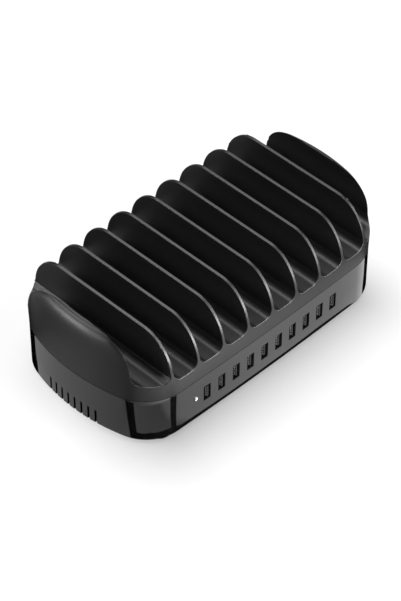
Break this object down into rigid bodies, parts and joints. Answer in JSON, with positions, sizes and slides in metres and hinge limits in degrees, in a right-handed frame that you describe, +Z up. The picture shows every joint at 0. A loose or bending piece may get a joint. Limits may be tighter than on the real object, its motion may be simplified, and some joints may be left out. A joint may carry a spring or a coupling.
{
  "type": "charging station",
  "caption": "Desktop charging station: a satin black rack of thin upright dividers between domed ends on a gloss case with upright ports, an indicator and end vents.",
  "frame": {"origin": "on the table, under the middle of the station", "axes": "+X along the row of slots, -Y out of the side with the ports, +Z up"},
  "size_m": [0.267, 0.1482, 0.0934],
  "materials": {
    "satin_black_plastic": "fine satin moulding texture",
    "gloss_black_plastic": "high gloss moulding",
    "black_rubber": "matt",
    "zinc_plated_steel": "zinc plated",
    "blackened_steel": "blackened sheet",
    "green_circuit_board": "solder mask on glass fibre board",
    "dark_socket_plastic": "moulded",
    "white_light_pipe": "translucent white, lit",
    "white_lamp": "clear cast body",
    "grey_ferrite": "sintered",
    "yellow_winding_tape": "polyester tape",
    "dark_capacitor_sleeve": "shrunk sleeve on an aluminium can",
    "plain_aluminium": "extruded",
    "black_component_plastic": "moulded",
    "yellow_film_capacitor": "moulded",
    "copper_winding": null,
    "black_socket_plastic": "moulded",
    "nickel_plated_brass": "nickel plated",
    "blue_insulation": "soft insulation on copper wire",
    "brown_insulation": "soft insulation on copper wire",
    "red_insulation": "soft insulation on copper wire",
    "black_insulation": "soft insulation on copper wire"
  },
  "bodies": {
    "station": {"bridge_rectifier": "black_component_plastic", "case_screw_front_left": "zinc_plated_steel", "case_screw_front_right": "zinc_plated_steel", "case_screw_rear_left": "zinc_plated_steel", "case_screw_rear_right": "zinc_plated_steel", "choke_coil": "copper_winding", "filter_capacitor": "yellow_film_capacitor", "foot_front_left": "black_rubber", "foot_front_right": "black_rubber", "foot_rear_left": "black_rubber", "foot_rear_right": "black_rubber", "indicator_lamp": "white_lamp", "inlet_pin_left": "nickel_plated_brass", "inlet_pin_right": "nickel_plated_brass", "light_pipe": "white_light_pipe", "live_lead": "brown_insulation", "lower_case": "gloss_black_plastic", "mains_capacitor_1": "dark_capacitor_sleeve", "mains_capacitor_2": "dark_capacitor_sleeve", "mains_heat_sink": "plain_aluminium", "mains_inlet": "black_socket_plastic", "neutral_lead": "blue_insulation", "output_capacitor_1": "dark_capacitor_sleeve", "output_capacitor_2": "dark_capacitor_sleeve", "output_capacitor_3": "dark_capacitor_sleeve", "output_capacitor_4": "dark_capacitor_sleeve", "output_heat_sink": "plain_aluminium", "output_lead_negative": "black_insulation", "output_lead_positive": "red_insulation", "port_board": "green_circuit_board", "port_shell_01": "blackened_steel", "port_shell_02": "blackened_steel", "port_shell_03": "blackened_steel", "port_shell_04": "blackened_steel", "port_shell_05": "blackened_steel", "port_shell_06": "blackened_steel", "port_shell_07": "blackened_steel", "port_shell_08": "blackened_steel", "port_shell_09": "blackened_steel", "port_shell_10": "blackened_steel", "port_tongue_01": "dark_socket_plastic", "port_tongue_02": "dark_socket_plastic", "port_tongue_03": "dark_socket_plastic", "port_tongue_04": "dark_socket_plastic", "port_tongue_05": "dark_socket_plastic", "port_tongue_06": "dark_socket_plastic", "port_tongue_07": "dark_socket_plastic", "port_tongue_08": "dark_socket_plastic", "port_tongue_09": "dark_socket_plastic", "port_tongue_10": "dark_socket_plastic", "power_board": "green_circuit_board", "rack_cover": "satin_black_plastic", "switch_housing": "black_socket_plastic", "switch_terminal_1": "nickel_plated_brass", "switch_terminal_2": "nickel_plated_brass", "switched_lead": "brown_insulation", "transformer_coil": "yellow_winding_tape", "transformer_core": "grey_ferrite"},
    "rocker": {"switch_rocker": "black_socket_plastic"}
  },
  "joints": [
    {"name": "power_switch", "type": "hinge", "parent": "station", "child": "rocker", "pos_m": [0.06974, 0.06852, 0.025], "axis": [1, 0, 0], "range_deg": [0, 18]}
  ]
}
